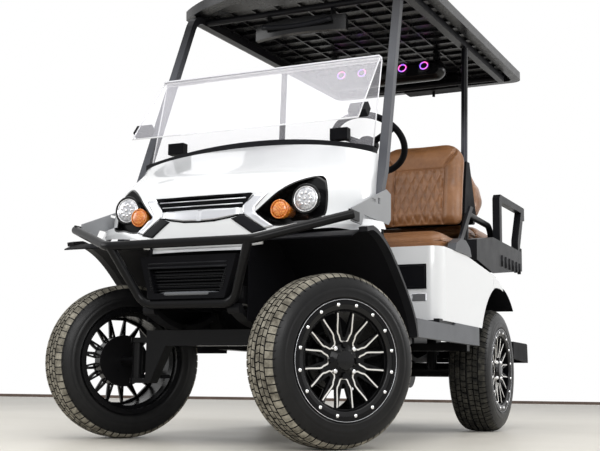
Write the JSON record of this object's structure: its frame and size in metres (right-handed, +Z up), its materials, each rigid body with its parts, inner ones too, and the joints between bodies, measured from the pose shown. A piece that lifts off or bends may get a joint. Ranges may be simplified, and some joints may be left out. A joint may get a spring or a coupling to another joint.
{
  "type": "golf cart",
  "caption": "Lifted open golf cart with a roof, a fold-down windscreen, a front bench and a rear-facing bench over a footrest, steered front wheels and flip-up seat bottoms",
  "frame": {"origin": "middle of the whole cart's footprint box, on the floor", "axes": "front faces -Y, +X is the cart's own left side, +Z is up"},
  "size_m": [1.361, 2.7513, 1.9669],
  "materials": {
    "frame_black": "satin powder coat",
    "spring_steel": "satin paint",
    "strut_grey": "light satin grey",
    "black_plastic": "fine grained",
    "grey_plastic": "fine grained",
    "gloss_black": "glossy",
    "body_white": "glossy",
    "roof_black": "satin",
    "screen_clear": "clear polished sheet",
    "lamp_clear": "clear lens",
    "lamp_amber": "amber lens",
    "tan_leather": "semi-gloss, padded",
    "rim_black": "gloss black with bright spoke edges",
    "tyre_rubber": "road tread"
  },
  "bodies": {
    "cart": {"chassis_frame": "frame_black", "front_axle": "frame_black", "rear_axle": "frame_black", "front_springs": "spring_steel", "rear_springs": "spring_steel", "rear_shocks": "frame_black", "battery_pack": "black_plastic", "floor_pan": "black_plastic", "front_cowl": "body_white", "cowl_trim": "black_plastic", "dashboard": "black_plastic", "front_grille": "black_plastic", "headlight_bezels": "gloss_black", "headlights": "lamp_clear", "turn_signals": "lamp_amber", "wheel_well_liners": "black_plastic", "fender_flares": "black_plastic", "bumper_panel": "black_plastic", "brush_guard": "frame_black", "rockers": "grey_plastic", "rear_body": "body_white", "charger_plate": "gloss_black", "rear_liners": "black_plastic", "roof": "roof_black", "roof_frame": "strut_grey", "rear_struts": "frame_black", "strut_brackets": "strut_grey", "windscreen_lower": "screen_clear", "windscreen_upper": "screen_clear", "screen_fittings": "black_plastic", "mirror": "black_plastic", "soundbar": "gloss_black", "roof_box": "black_plastic", "steering_column": "black_plastic", "pedals": "black_plastic", "front_seat_backs": "tan_leather", "rear_seat_backs": "tan_leather", "rear_seat_ledge": "tan_leather", "seat_back_shells": "black_plastic", "seat_support": "frame_black", "hip_restraints": "black_plastic", "rear_tray": "black_plastic", "flip_brackets": "frame_black", "grab_frames": "black_plastic", "rear_footrest": "black_plastic", "rear_seat_frame": "frame_black"},
    "knuckle_left": {"knuckle_left": "frame_black"},
    "knuckle_right": {"knuckle_right": "frame_black"},
    "steering_wheel": {"steering_wheel": "black_plastic"},
    "seat_front": {"seat_bottom_front": "tan_leather"},
    "seat_rear": {"seat_bottom_rear": "tan_leather"},
    "wheel_front_left": {"rim_front_left": "rim_black", "tyre_front_left": "tyre_rubber"},
    "wheel_front_right": {"rim_front_right": "rim_black", "tyre_front_right": "tyre_rubber"},
    "wheel_rear_left": {"rim_rear_left": "rim_black", "tyre_rear_left": "tyre_rubber"},
    "wheel_rear_right": {"rim_rear_right": "rim_black", "tyre_rear_right": "tyre_rubber"}
  },
  "joints": [
    {"name": "steer_left", "type": "hinge", "parent": "cart", "child": "knuckle_left", "pos_m": [0.344, -1.02337, 0.286], "axis": [0, 0, 1], "range_deg": [0, 68]},
    {"name": "steer_right", "type": "hinge", "parent": "cart", "child": "knuckle_right", "pos_m": [-0.344, -1.02337, 0.286], "axis": [0, 0, 1], "range_deg": [0, 68]},
    {"name": "steer_wheel_turn", "type": "hinge", "parent": "cart", "child": "steering_wheel", "pos_m": [0.295, -0.33637, 1.193], "axis": [0, 0.6428, 0.766], "range_deg": [0, 816]},
    {"name": "spin_front_left", "type": "hinge", "parent": "knuckle_left", "child": "wheel_front_left", "pos_m": [0.46172, -1.10277, 0.286], "axis": [0.829, -0.5592, 0], "continuous": true},
    {"name": "spin_front_right", "type": "hinge", "parent": "knuckle_right", "child": "wheel_front_right", "pos_m": [-0.46172, -0.94396, 0.286], "axis": [0.829, -0.5592, 0], "continuous": true},
    {"name": "spin_rear_left", "type": "hinge", "parent": "cart", "child": "wheel_rear_left", "pos_m": [0.496, 0.66663, 0.286], "axis": [1, 0, 0], "continuous": true},
    {"name": "spin_rear_right", "type": "hinge", "parent": "cart", "child": "wheel_rear_right", "pos_m": [-0.496, 0.66663, 0.286], "axis": [1, 0, 0], "continuous": true},
    {"name": "front_seat_lift", "type": "hinge", "parent": "cart", "child": "seat_front", "pos_m": [0, 0.27963, 0.86], "axis": [-1, 0, 0], "range_deg": [0, 80]},
    {"name": "rear_seat_flip", "type": "hinge", "parent": "cart", "child": "seat_rear", "pos_m": [0, 1.05763, 1], "axis": [-1, 0, 0], "range_deg": [0, 180]}
  ],
  "couplings": [
    {"joint": "steer_right", "follows": "steer_left", "ratio": 1},
    {"joint": "steer_wheel_turn", "follows": "steer_left", "ratio": 12}
  ]
}
